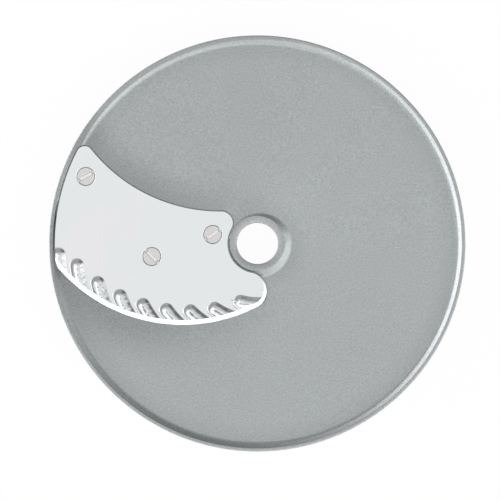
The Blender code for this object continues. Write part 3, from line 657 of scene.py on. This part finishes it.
def eased(tree, value, begin, end, low, high):
    """Goes from the low to the high value while the input goes from begin to end."""
    settings = {"interpolation_type": "SMOOTHSTEP"}
    node = add_node(tree, "ShaderNodeMapRange", settings, Value=value, _1=begin, _2=end, _3=low, _4=high)
    return node.outputs[0]


def noise(tree, coords, width, detail, **inputs):
    """Noise from 0 to 1 whose largest features are this many millimetres wide."""
    node = add_node(tree, "ShaderNodeTexNoise", Vector=coords, Scale=1.0 / (width * MM), Detail=detail, **inputs)
    return node.outputs["Fac"]


def circle_distance(tree, coords, centre, radius):
    """Distance in plan from a circle, on either side of it."""
    plan = add_node(tree, "ShaderNodeVectorMath", {"operation": "MULTIPLY"}, _0=coords, _1=(1.0, 1.0, 0.0))
    middle = (centre.x, centre.y, 0.0)
    away = add_node(tree, "ShaderNodeVectorMath", {"operation": "DISTANCE"}, _0=plan.outputs[0], _1=middle)
    return math_node(tree, "ABSOLUTE", math_node(tree, "SUBTRACT", away.outputs["Value"], radius))


def toned(tree, rgb, tone):
    """The colour made lighter or darker by a value."""
    return add_node(tree, "ShaderNodeVectorMath", {"operation": "SCALE"}, _0=rgb, Scale=tone).outputs[0]


def new_material(name):
    """A material with its node tree and its Principled shader."""
    material = bpy.data.materials.new(name)
    material.use_nodes = True
    tree = material.node_tree
    return material, tree, tree.nodes["Principled BSDF"]


def scaled(rgb, factor):
    """The colour made lighter or darker."""
    return tuple(min(channel * factor, 1.0) for channel in rgb)


def metal(name, roughness):
    """A metal's material, node tree, shader and object coordinates."""
    material, tree, shader = new_material(name)
    shader.inputs["Metallic"].default_value = 1.0
    shader.inputs["Roughness"].default_value = roughness
    return material, tree, shader, add_node(tree, "ShaderNodeTexCoord").outputs["Object"]


def surface(tree, shader, rgb, pattern, strength, depth):
    """Gives the shader its colour, and a relief of this depth that follows the pattern."""
    tree.links.new(rgb, shader.inputs["Base Color"])
    bump = add_node(tree, "ShaderNodeBump", Strength=strength, Distance=depth, Height=pattern)
    tree.links.new(bump.outputs["Normal"], shader.inputs["Normal"])


def blasted_cast_aluminium(form):
    """Aluminium casting blasted with fine glass beads: a dull satin grey that glitters very slightly, with painted
    shade beside the rim, the hub and the blade.
    """
    casting = form.casting
    material, tree, shader, coords = metal("bead_blasted_cast_aluminium", casting.roughness)
    # Bead marks are about 0.15 mm wide, and are drawn 0.7 mm wide so that they show
    beads = noise(tree, coords, 0.7, 2.0, Roughness=0.6)
    grain = ramp(tree, beads, [(0.3, scaled(casting.color, 0.85)), (0.7, scaled(casting.color, 1.15))])
    # Slow clouds of 25 mm from the melt's flow in the mould
    tone = eased(tree, noise(tree, coords, 25.0, 3.0), 0.3, 0.7, 0.98, 1.0)
    # Painted shade: the metal is painted darker beside the rim, the hub and the blade, where shade falls in the corners
    # and by the blade. Each row is a circle, how far the painted shade reaches from it, by how much it is darker, and
    # where that holds
    place_x = add_node(tree, "ShaderNodeSeparateXYZ", Vector=coords).outputs["X"]
    back_shade_spread = eased(tree, place_x, 4.0 * MM, -50.0 * MM, 0.0, 1.0)
    edge_shade_spread = eased(tree, place_x, 15.0 * MM, -80.0 * MM, 0.0, 1.0)
    for centre, radius, reach, painted_shade_depth, part in (
        (AXIS, form.rim_foot, 9.0 * MM, 0.06, 1.0),
        (AXIS, form.hub + casting.hub_flank_width, 9.0 * MM, 0.08, 1.0),
        (form.back_centre, form.back, 18.0 * MM, 0.19, back_shade_spread),
        (form.edge_centre, form.front, 26.0 * MM, 0.25, edge_shade_spread),
    ):
        darker = eased(tree, circle_distance(tree, coords, centre, radius), 0.0, reach, painted_shade_depth, 0.0)
        kept_after_painted_shade = math_node(tree, "SUBTRACT", 1.0, math_node(tree, "MULTIPLY", darker, part))
        tone = math_node(tree, "MULTIPLY", tone, kept_after_painted_shade)
    # The colour takes the bead grain, the slow clouds and the painted shade
    surface(tree, shader, toned(tree, grain, tone), beads, 0.25, 0.02 * MM)
    return material


def polished_stainless(form):
    """Stainless sheet polished to a mirror: it shows the light tent, and the flutes bend and break that picture."""
    blade = form.blade
    material, tree, shader, coords = metal("mirror_polished_stainless", blade.roughness)
    # The buffing wheel leaves soft patches about 30 mm wide, a little warmer and a little cooler
    patches = noise(tree, coords, 30.0, 1.0)
    tint = ramp(tree, patches, [(0.52, tuple(blade.color)), (0.7, hex_color("#E8E7E9"))], "EASE")
    # Hairlines from the last buffing, 0.05 mm wide in the metal and drawn 0.3 mm wide
    lines = add_node(tree, "ShaderNodeMapping", Vector=coords, Scale=(1.0, 14.0, 1.0), Rotation=(0.0, 0.0, 0.4))
    hair = noise(tree, lines.outputs["Vector"], 4.0, 3.0)
    low, high = blade.roughness - 0.02, blade.roughness + 0.03
    gloss = add_node(tree, "ShaderNodeMapRange", Value=hair, _3=low, _4=high)
    tree.links.new(gloss.outputs["Result"], shader.inputs["Roughness"])
    # Pressing leaves the flutes wavy by some hundredths of a millimetre, which breaks up what they mirror
    height = add_node(tree, "ShaderNodeSeparateXYZ", Vector=coords).outputs["Z"]
    pressed = eased(tree, height, form.blade_top + 0.02 * MM, form.blade_top + 0.3 * MM, 0.0, 1.0)
    surface(tree, shader, tint, noise(tree, coords, 2.2, 1.0), pressed, blade.flute_waviness)
    return material


def ground_stainless(blade):
    """The cutting edge's ground face: fine lines across the edge make it matt, and whiter than the polished sheet."""
    material, tree, shader, coords = metal("ground_stainless_edge", blade.ground_roughness)
    # Grinding lines are about 0.04 mm apart, and are drawn 0.4 mm apart
    marks = noise(tree, coords, 0.4, 2.0)
    tone = ramp(tree, marks, [(0.3, scaled(blade.ground_color, 0.97)), (0.7, scaled(blade.ground_color, 1.03))])
    surface(tree, shader, tone, marks, 0.1, 0.01 * MM)
    return material


def turned_stainless(screws):
    """Screw heads faced on a lathe: rings round the screw's own axis spread the gloss."""
    material, tree, shader, coords = metal("turned_stainless", screws.roughness)
    # The tool's rings are about 0.1 mm apart, and the wave texture draws them 0.31 mm apart at this scale
    settings = {"wave_type": "RINGS", "rings_direction": "Z"}
    rings = add_node(tree, "ShaderNodeTexWave", settings, Vector=coords, Scale=1.0 / MM, Distortion=0.4)
    stops = [(0.0, scaled(screws.color, 0.9)), (1.0, scaled(screws.color, 1.04))]
    faced = ramp(tree, rings.outputs["Color"], stops)
    # Painted light in the slot: from 0.3 mm below the head's top down to 0.8 mm the metal is painted lighter, so the
    # slot shows lighter than the faced head
    depth = add_node(tree, "ShaderNodeSeparateXYZ", Vector=coords).outputs["Z"]
    slot_painted_light = eased(tree, depth, -0.3 * MM, -0.8 * MM, 0.88, 1.08)
    surface(tree, shader, toned(tree, faced, slot_painted_light), rings.outputs["Fac"], 0.15, 0.01 * MM)
    return material


def cone_hole(form, screws, spot, bottom):
    """The cutter for a countersunk clearance hole."""
    top = form.blade_top + CUT_OVERRUN
    head = screws.head_radius + screws.head_gap * math.sqrt(2.0) + screws.sink + CUT_OVERRUN
    shank = screws.shank_radius + form.blade.fit_gap
    profile = [(0.0, top), (head, top), (shank, top - (head - shank)), (shank, bottom), (0.0, bottom)]
    return turned("cut_hole", profile, spot)


def screw_spots(screws):
    """Plan points of the screws."""
    return [Vector(screws.outer_place), Vector(screws.inner_place), Vector(screws.middle_place)]


class RIPPLEDISC_OT_casting(bpy.types.Operator):
    """Builds the cast disc: a loft of sections round the bore, with its seat, bosses, ribs, window and holes"""

    bl_idname = "ripple_disc.casting"
    bl_label = "Disc Casting"

    def execute(self, context):
        casting = context.scene.ripple_disc_casting
        screws = context.scene.ripple_disc_screw
        form = DiscForm(context.scene)
        bm = bmesh.new()
        loops = []
        for number in range(SECTION_COUNT):
            heading = math.tau * number / SECTION_COUNT
            points = form.section(heading)
            loops.append([add_vert(bm, point_at(radius, heading), height) for radius, height in points])
        skin(bm, loops + loops[:1])
        bmesh.ops.remove_doubles(bm, verts=bm.verts, dist=MERGE_DISTANCE)
        disc = new_object("disc_casting_finished", bm, [blasted_cast_aluminium(form)])

        under_seat = form.seat_top - casting.plate_thickness
        inside_seat = under_seat + casting.plate_thickness / 2.0
        boss_foot = under_seat - casting.boss_length
        reach = casting.boss_radius
        profile = [(0.0, inside_seat), (reach, inside_seat), (reach, boss_foot), (0.0, boss_foot)]
        added = [self.seat_pad(form)]
        added += [turned("add_boss", profile, spot) for spot in screw_spots(screws)]
        added += self.ribs(form)
        pocket = prism("cut_pocket", form.blade_plan(form.blade.pocket_gap), form.seat_top, form.rim_top + CUT_OVERRUN)
        cut = [pocket, self.drive_slot(form)]
        cut += [cone_hole(form, screws, spot, -CUT_OVERRUN) for spot in screw_spots(screws)]
        combine(disc, [("DIFFERENCE", [self.window(form)]), ("UNION", added), ("DIFFERENCE", cut)])
        dress(disc, "disc_casting")
        return {"FINISHED"}

    @staticmethod
    def window(form):
        """Clears the plate under the blade, from the lip behind the cutting edge to behind the seat's front."""
        casting = form.casting
        outer = form.outer - casting.seat_lap
        notch = form.notch + casting.seat_lap
        front = form.front - casting.lip_setback
        back = form.back + casting.seat_lap
        outline = round_trip(
            [
                (form.edge_centre, crossing(AXIS, outer, form.edge_centre, front), 1),
                (form.lobe, form.toward(form.edge_centre, form.lobe, front), 1),
                (AXIS, crossing(AXIS, notch, form.lobe, form.lobe_round - casting.lip_setback), -1),
                (form.back_centre, crossing(AXIS, notch, form.back_centre, back), -1),
                (AXIS, crossing(AXIS, outer, form.back_centre, back), 1),
            ]
        )
        return prism("cut_window", outline, -CUT_OVERRUN, form.rim_top + CUT_OVERRUN)

    @staticmethod
    def seat_pad(form):
        """The level pad that the blade lies on, let into the hub, the rim and the plate behind it."""
        casting = form.casting
        outer = form.rim_inner + casting.rim_thickness / 2.0
        notch = form.notch - casting.seat_margin
        front = form.front - casting.seat_setback
        back = form.back - casting.seat_margin
        outline = round_trip(
            [
                (form.edge_centre, crossing(AXIS, outer, form.edge_centre, front), 1),
                (AXIS, crossing(AXIS, notch, form.edge_centre, front), -1),
                (form.corner, form.corner.normalized() * notch, 1),
                (form.back_centre, form.toward(form.back_centre, form.corner, back), -1),
                (AXIS, crossing(AXIS, outer, form.back_centre, back), 1),
            ]
        )
        return prism("add_seat", outline, form.seat_top - casting.plate_thickness, form.seat_top)

    @staticmethod
    def ribs(form):
        """Radial ribs under the plate, from the hub's foot to the skirt."""
        casting = form.casting
        start = (form.hub_foot + casting.bore_radius) / 2.0
        end = casting.radius - casting.skirt_thickness / 2.0
        made = []
        for number in range(casting.rib_count):
            heading = casting.rib_first + casting.rib_spacing * number
            top = form.plate_top(heading) - casting.plate_thickness / 2.0
            middle = point_at((start + end) / 2.0, heading)
            size = (end - start, casting.rib_thickness, top - casting.rib_base_gap)
            height = (top + casting.rib_base_gap) / 2.0
            made.append(block("add_rib", size, (middle.x, middle.y, height), heading))
        return made

    @staticmethod
    def drive_slot(form):
        """The slot across the hub's foot that takes the cross pin of the machine's shaft."""
        casting = form.casting
        reach = 2.0 * (form.hub_foot + casting.underside_fillet)
        size = (reach, casting.drive_slot_width, casting.drive_slot_depth + CUT_OVERRUN)
        return block("cut_drive_slot", size, (0.0, 0.0, (casting.drive_slot_depth - CUT_OVERRUN) / 2.0), 0.0)


class RIPPLEDISC_OT_blade(bpy.types.Operator):
    """Builds the fluted blade: rows on circles about the bore, from the ground edge back, lifted by the flutes"""

    bl_idname = "ripple_disc.blade"
    bl_label = "Ripple Blade"

    def execute(self, context):
        blade = context.scene.ripple_disc_blade
        screws = context.scene.ripple_disc_screw
        form = DiscForm(context.scene)
        bm = bmesh.new()
        tops, floors = self.grid(bm, form)
        for rows, turn in ((tops, 1), (floors, -1)):
            for near, far in zip(rows, rows[1:]):
                for column, corners in enumerate(zip(near, near[1:], far[1:], far)):
                    face = bm.faces.new(corners[::turn])
                    if turn == 1 and column < BEVEL_STEPS:
                        face.material_index = 1
        for side_top, side_floor, ground in (
            (tops[0], floors[0], 0),
            (tops[-1], floors[-1], 0),
            ([row[0] for row in tops], [row[0] for row in floors], 1),
            ([row[-1] for row in tops], [row[-1] for row in floors], 0),
        ):
            for corners in zip(side_top, side_top[1:], side_floor[1:], side_floor):
                bm.faces.new(corners).material_index = ground
        bmesh.ops.remove_doubles(bm, verts=bm.verts, dist=MERGE_DISTANCE)
        piece = new_object("ripple_blade_finished", bm, [polished_stainless(form), ground_stainless(blade)])
        holes = [cone_hole(form, screws, spot, form.blade_underside - CUT_OVERRUN) for spot in screw_spots(screws)]
        combine(piece, [("DIFFERENCE", holes)])
        dress(piece, "ripple_blade")
        return {"FINISHED"}

    @staticmethod
    def grid(bm, form):
        """The blade's top and underside points, in rows by radius and columns from the cutting edge back."""
        blade = form.blade
        setbacks = [blade.bevel_width * step / BEVEL_STEPS for step in range(BEVEL_STEPS + 1)]
        flute_end = blade.rim_setback + blade.flute_pitch
        while setbacks[-1] < flute_end:
            setbacks.append(setbacks[-1] + blade.flute_pitch / FLUTE_STEPS)
        radii = form.blade_radii()
        tops = []
        floors = []
        for radius in radii:
            row = form.front_points(radius, setbacks, BEVEL_STEPS + 1)
            heading = math.atan2(row[-1].y, row[-1].x)
            sweep = swing(row[-1], form.back_point(radius))
            inset = min(blade.edge_break / radius / abs(sweep), 0.5)
            parts = [step / REAR_STEPS for step in range(1, REAR_STEPS)] + [1.0 - inset, 1.0]
            row += [point_at(radius, heading + sweep * part) for part in sorted(parts)]
            land = blade.thickness - (blade.thickness - blade.edge_land) * form.lobe_taper(radius)
            at_end = radius in (radii[0], radii[-1])
            top_row = []
            floor_row = []
            for column, point in enumerate(row):
                height = form.blade_underside + form.flute_rise(point)
                ground = min(column / BEVEL_STEPS, 1.0)
                depth = land + (blade.thickness - land) * ground
                if (at_end and ground == 1.0) or column == len(row) - 1:
                    depth -= blade.edge_break
                floor_row.append(add_vert(bm, point, height))
                top_row.append(add_vert(bm, point, height + depth))
            tops.append(top_row)
            floors.append(floor_row)
        return tops, floors


class RIPPLEDISC_OT_screws(bpy.types.Operator):
    """Builds the three slotted countersunk screws with their threads"""

    bl_idname = "ripple_disc.screws"
    bl_label = "Blade Screws"

    def execute(self, context):
        screws = context.scene.ripple_disc_screw
        form = DiscForm(context.scene)
        material = turned_stainless(screws)
        for node, spot, turn in (
            ("screw_outer", screws.outer_place, screws.outer_slot),
            ("screw_inner", screws.inner_place, screws.inner_slot),
            ("screw_middle", screws.middle_place, screws.middle_slot),
        ):
            screw = self.threaded_body(f"{node}_finished", screws, material)
            combine(screw, [("DIFFERENCE", [self.slot(screws, turn)])])
            screw.location = (*spot, form.blade_top - screws.sink)
            dress(screw, node)
        return {"FINISHED"}

    @staticmethod
    def slot(screws, turn):
        """The cutter for the driver slot, with a chamfer along both lips, through the head in this direction."""
        half = screws.slot_width / 2.0
        wide = half + screws.slot_lip + CUT_OVERRUN
        section = [(-half, -screws.slot_depth), (half, -screws.slot_depth), (half, -screws.slot_lip)]
        section += [(wide, CUT_OVERRUN), (-wide, CUT_OVERRUN), (-half, -screws.slot_lip)]
        reach = 3.0 * screws.head_radius
        corners = [(-reach / 2.0, across, height) for across, height in section]
        cutter = swept("cut_slot", corners, (reach, 0.0, 0.0))
        cutter.rotation_euler.z = turn
        return cutter

    @staticmethod
    def threaded_body(name, screws, material):
        """The screw below its head's top: head, cone, thread and tip, as rings of points from the top down."""
        head = screws.head_radius
        shank = screws.shank_radius
        edge = screws.head_edge
        core = shank - screws.thread_depth
        neck = head - shank + edge
        rows = [(head - edge, 0.0, 0.0), (head, -edge, 0.0), (shank, -neck, 0.0)]
        length_below = screws.length - screws.sink
        threaded = length_below - neck
        count = round(threaded / screws.thread_pitch * THREAD_STEPS)
        for step in range(1, count):
            depth = threaded * step / count
            fade = smooth_step(depth / screws.thread_pitch) * screws.thread_depth
            limit = min((threaded - depth) / screws.tip_chamfer, 1.0)
            outer = shank - screws.tip_chamfer * (1.0 - limit)
            rows.append((outer, -neck - depth, max(min(fade, outer - core), 0.0)))
        rows.append((core - (screws.tip_chamfer - screws.thread_depth), -length_below, 0.0))
        bm = bmesh.new()
        rings = []
        for radius, height, groove in rows:
            ring = []
            for side in range(THREAD_SIDES):
                heading = math.tau * side / THREAD_SIDES
                phase = (height / screws.thread_pitch + side / THREAD_SIDES) % 1.0
                point = point_at(radius - groove * (1.0 - abs(2.0 * phase - 1.0)), heading)
                ring.append(add_vert(bm, point, height))
            rings.append(ring)
        skin(bm, rings)
        bm.faces.new(rings[0])
        bm.faces.new(rings[-1])
        return new_object(name, bm, [material])


class RIPPLEDISC_OT_stage(bpy.types.Operator):
    """Builds the white floor, the light tent round the disc and the camera above it"""

    bl_idname = "ripple_disc.stage"
    bl_label = "Stage"

    def execute(self, context):
        stage = context.scene.ripple_disc_stage
        context.scene.view_settings.view_transform = "Standard"
        self.floor(stage)
        self.tent(context.scene, stage)
        self.camera(context.scene, stage)
        return {"FINISHED"}

    @staticmethod
    def floor(stage):
        """A round white floor under the disc. Seen or mirrored it is white, and it keeps a soft shadow."""
        material, tree, shader = new_material("matt_white_floor")
        shader.inputs["Base Color"].default_value = (*stage.floor_color, 1.0)
        shader.inputs["Roughness"].default_value = 0.9
        rays = add_node(tree, "ShaderNodeLightPath").outputs
        seen = math_node(tree, "MAXIMUM", rays["Is Camera Ray"], rays["Is Glossy Ray"])
        seen = math_node(tree, "MAXIMUM", seen, rays["Is Transmission Ray"])
        matt = shader.outputs["BSDF"]
        glow = add_node(tree, "ShaderNodeEmission", Strength=1.0).outputs["Emission"]
        dim = add_node(tree, "ShaderNodeMixShader", Fac=FLOOR_GLOW, _1=matt, _2=glow).outputs["Shader"]
        mix = add_node(tree, "ShaderNodeMixShader", Fac=seen, _1=matt, _2=dim)
        tree.links.new(mix.outputs["Shader"], tree.nodes["Material Output"].inputs["Surface"])
        bm = bmesh.new()
        bmesh.ops.create_circle(bm, cap_ends=True, segments=ROUND_SIDES, radius=FLOOR_RADIUS)
        floor = new_object("floor", bm, [material])
        floor.location.z = -FLOOR_DEPTH

    @staticmethod
    def tent(scene, stage):
        """The light tent round the disc, whose strength is a table by heading and by lean from straight up."""
        world = bpy.data.worlds.new("light_tent")
        scene.world = world
        world.use_nodes = True
        tree = world.node_tree
        way = add_node(tree, "ShaderNodeTexCoord").outputs["Generated"]
        parts = add_node(tree, "ShaderNodeSeparateXYZ", Vector=way).outputs
        turn = math_node(tree, "MULTIPLY_ADD", math_node(tree, "ARCTAN2", parts["Y"], parts["X"]), 1.0 / math.tau, 0.5)
        lean = math_node(tree, "ARCCOSINE", parts["Z"])

        def band(strengths):
            """One band's strengths all the way round, as a share of the peak."""
            stops = zip(TENT_HEADINGS, strengths + strengths[:1])
            return ramp(tree, turn, [((degrees + 180.0) / 360.0, (value / TENT_PEAK,) * 3) for degrees, value in stops])

        # Each band is blended into the next one over the leans between them
        level = band(TENT_BANDS[0][1])
        for (below, _), (above, strengths) in zip(TENT_BANDS, TENT_BANDS[1:]):
            part = add_node(tree, "ShaderNodeMapRange", Value=lean, _1=math.radians(below), _2=math.radians(above))
            level = mixed(tree, part.outputs[0], level, band(strengths))
        level = math_node(tree, "MULTIPLY", level, TENT_PEAK * stage.tent)
        seen = add_node(tree, "ShaderNodeLightPath").outputs["Is Camera Ray"]
        strength = mixed(tree, seen, level, 1.0)
        background = tree.nodes["Background"]
        background.inputs["Color"].default_value = (1.0, 1.0, 1.0, 1.0)
        tree.links.new(strength, background.inputs["Strength"])

    @staticmethod
    def camera(scene, stage):
        """A long lens straight above the disc, with the picture's up along +Y."""
        form = DiscForm(scene)
        data = bpy.data.cameras.new("camera")
        data.lens = stage.lens
        data.clip_end = 100.0
        camera = bpy.data.objects.new("camera", data)
        distance = stage.view_width / data.sensor_width * data.lens
        camera.location = (*stage.aim, form.rim_top + distance)
        scene.collection.objects.link(camera)
        scene.camera = camera


# The tent as the disc sees it: for each lean from straight up the strengths at the headings, with 0 degrees to the
# picture's right and 90 to its top. Low on the left is the brightest panel, and low at the upper right the tent is
# open to the dark room.
TENT_PEAK = 4.0
TENT_HEADINGS = tuple(range(-180, 181, 30))
TENT_BANDS = (
    (4.0, (1.0, 1.0, 1.0, 1.0, 1.0, 1.0, 1.0, 1.0, 1.0, 1.0, 1.0, 1.0)),
    (8.0, (1.1, 0.3, 0.25, 0.35, 0.6, 0.7, 0.9, 1.0, 0.8, 0.85, 0.75, 1.0)),
    (15.0, (1.8, 0.5, 0.4, 0.6, 1.0, 0.85, 0.9, 0.75, 0.75, 0.6, 0.75, 1.2)),
    (24.0, (2.0, 1.5, 1.0, 1.3, 1.7, 1.4, 1.1, 0.75, 0.65, 0.5, 0.6, 1.0)),
    (33.0, (0.9, 1.4, 1.3, 1.6, 1.9, 1.9, 1.3, 0.5, 0.3, 0.4, 0.4, 0.5)),
    (43.0, (0.4, 1.0, 1.3, 1.6, 1.7, 1.6, 1.4, 0.2, 0.15, 0.4, 0.4, 0.4)),
    (51.0, (0.4, 0.3, 0.5, 0.9, 1.4, 1.7, 1.5, 0.15, 0.2, 0.5, 0.4, 0.4)),
    (59.0, (0.35, 0.25, 0.35, 0.7, 1.4, 2.0, 1.8, 0.6, 0.5, 0.5, 0.4, 0.45)),
    (68.0, (4.0, 3.4, 2.5, 1.6, 1.7, 2.1, 2.2, 1.0, 0.4, 0.5, 1.2, 3.3)),
    (90.0, (4.0, 2.6, 1.3, 1.0, 1.3, 1.8, 1.9, 0.5, 0.1, 0.1, 1.2, 3.7)),
)


class RIPPLEDISC_PT_panel(bpy.types.Panel):
    """Lists the pieces of the disc and the stage"""

    bl_idname = "RIPPLEDISC_PT_panel"
    bl_label = "Ripple Cut Disc"
    bl_space_type = "VIEW_3D"
    bl_region_type = "UI"
    bl_category = "Ripple Disc"

    def draw(self, context):
        for operator, name, _ in STEPS:
            box = self.layout.box()
            box.operator(operator.bl_idname)
            settings = getattr(context.scene, name)
            for key in settings.bl_rna.properties.keys():
                if key not in {"rna_type", "name"}:
                    box.prop(settings, key)


# The operators in their order, each with its property group and the group's name on the scene
STEPS = (
    (RIPPLEDISC_OT_casting, "ripple_disc_casting", RippleDiscCasting),
    (RIPPLEDISC_OT_blade, "ripple_disc_blade", RippleDiscBlade),
    (RIPPLEDISC_OT_screws, "ripple_disc_screw", RippleDiscScrew),
    (RIPPLEDISC_OT_stage, "ripple_disc_stage", RippleDiscStage),
)


def register():
    for operator, name, group in STEPS:
        bpy.utils.register_class(group)
        setattr(bpy.types.Scene, name, PointerProperty(type=group))
        bpy.utils.register_class(operator)
    bpy.utils.register_class(RIPPLEDISC_PT_panel)


def unregister():
    bpy.utils.unregister_class(RIPPLEDISC_PT_panel)
    for operator, name, group in reversed(STEPS):
        bpy.utils.unregister_class(operator)
        delattr(bpy.types.Scene, name)
        bpy.utils.unregister_class(group)


def main():
    register()
    bpy.ops.ripple_disc.casting()
    bpy.ops.ripple_disc.blade()
    bpy.ops.ripple_disc.screws()
    bpy.ops.ripple_disc.stage()


if __name__ == "__main__":
    main()
